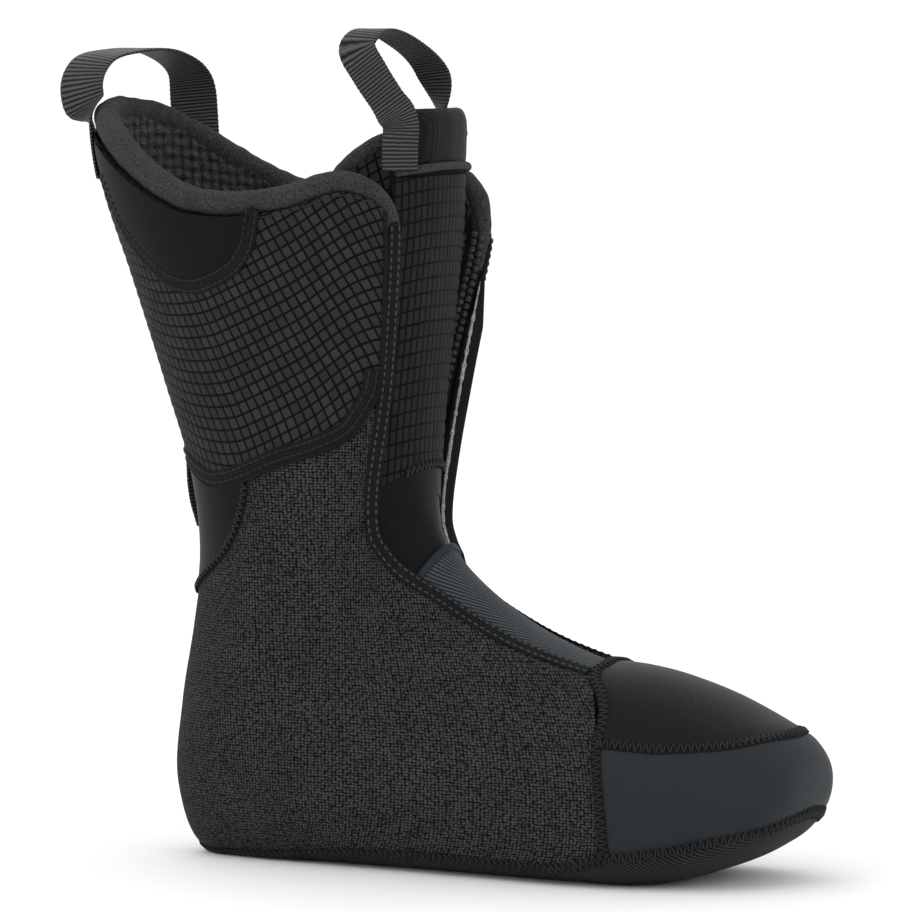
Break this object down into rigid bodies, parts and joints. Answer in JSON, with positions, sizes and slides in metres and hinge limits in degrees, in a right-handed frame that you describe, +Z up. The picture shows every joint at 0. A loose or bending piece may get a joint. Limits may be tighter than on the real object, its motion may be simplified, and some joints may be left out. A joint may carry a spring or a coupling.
{
  "type": "touring boot inner boot",
  "caption": "Soft inner boot of an alpine touring boot: foam shell with sewn fabric panels, folding collar flaps, tongue and webbing pull loops.",
  "frame": {"origin": "on the flat underside of the sole, straight below the ankle axis, midway across the heel", "axes": "+X towards the toe, +Z up the leg, -Y towards the outer side of the foot (right boot)"},
  "size_m": [0.3217, 0.1182, 0.3409],
  "materials": {
    "foam": "closed-cell foam, matt",
    "footbed": "felt-topped, matt",
    "lining": "brushed honeycomb knit",
    "fleece": "brushed knit roll",
    "webbing": "ribbed woven tape",
    "ripstop": "grid ripstop, slight sheen",
    "knit_mesh": "pebbled knit mesh, matt",
    "slate_fabric": "smooth elastic fabric, matt",
    "thread": "twisted sewing thread",
    "sole_twill": "diagonal twill",
    "stretch_fabric": "smooth stretch fabric, satin"
  },
  "bodies": {
    "foot": {"sole_panel": "sole_twill", "footbed": "footbed", "sole_seam": "thread", "foot_foam_lateral": "foam", "foot_foam_medial": "foam", "toe_foam": "foam", "toe_cap_top": "stretch_fabric", "toe_band": "slate_fabric", "quarter_fabric_lateral": "knit_mesh", "quarter_fabric_medial": "knit_mesh", "ankle_pad_lateral": "foam", "ankle_pad_medial": "foam", "instep_gusset": "slate_fabric", "instep_pad": "foam", "throat_stretch_panel": "stretch_fabric", "achilles_panel": "stretch_fabric"},
    "cuff": {"cuff_foam": "foam", "cuff_panel": "ripstop", "cuff_lining": "lining", "quarter_upper_lateral": "knit_mesh", "quarter_upper_medial": "knit_mesh", "collar_panel_lateral": "stretch_fabric", "collar_panel_medial": "stretch_fabric", "collar_roll": "fleece", "achilles_webbing": "webbing"},
    "lateral_flap": {"lateral_flap_foam": "foam", "lateral_flap_fabric": "knit_mesh", "lateral_flap_panel": "ripstop", "lateral_flap_lining": "lining", "lateral_flap_roll": "fleece"},
    "medial_flap": {"medial_flap_foam": "foam", "medial_flap_fabric": "knit_mesh", "medial_flap_panel": "ripstop", "medial_flap_lining": "lining", "medial_flap_roll": "fleece"},
    "tongue": {"tongue_foam": "foam", "tongue_lower_panel": "stretch_fabric", "tongue_rib_panel": "ripstop", "tongue_cover": "stretch_fabric", "tongue_lining": "lining", "tongue_binding": "fleece"},
    "rear_loop": {"rear_pull_loop": "webbing"},
    "tongue_loop": {"tongue_pull_loop": "webbing"}
  },
  "joints": [
    {"name": "ankle_flex", "type": "hinge", "parent": "foot", "child": "cuff", "pos_m": [0, 0, 0.115], "axis": [0, 1, 0], "range_deg": [-8, 14], "deforming": ["achilles_panel", "throat_stretch_panel"]},
    {"name": "lateral_flap_open", "type": "hinge", "parent": "cuff", "child": "lateral_flap", "pos_m": [0.0045, -0.0473, 0.2081], "axis": [0.3553, 0.2062, -0.9117], "range_deg": [0, 35]},
    {"name": "medial_flap_open", "type": "hinge", "parent": "cuff", "child": "medial_flap", "pos_m": [0.0045, 0.0473, 0.2081], "axis": [-0.3553, 0.2062, 0.9117], "range_deg": [0, 35]},
    {"name": "tongue_open", "type": "hinge", "parent": "cuff", "child": "tongue", "pos_m": [0.038, 0, 0.149], "axis": [0, 1, 0], "range_deg": [0, 50]},
    {"name": "rear_loop_swing", "type": "hinge", "parent": "cuff", "child": "rear_loop", "pos_m": [-0.0822, 0, 0.2635], "axis": [0.059, -0.9841, -0.1673], "range_deg": [0, 30]},
    {"name": "tongue_loop_swing", "type": "hinge", "parent": "tongue", "child": "tongue_loop", "pos_m": [0.0475, -0.004, 0.295], "axis": [0.0896, 0.996, 0], "range_deg": [0, 60]}
  ]
}
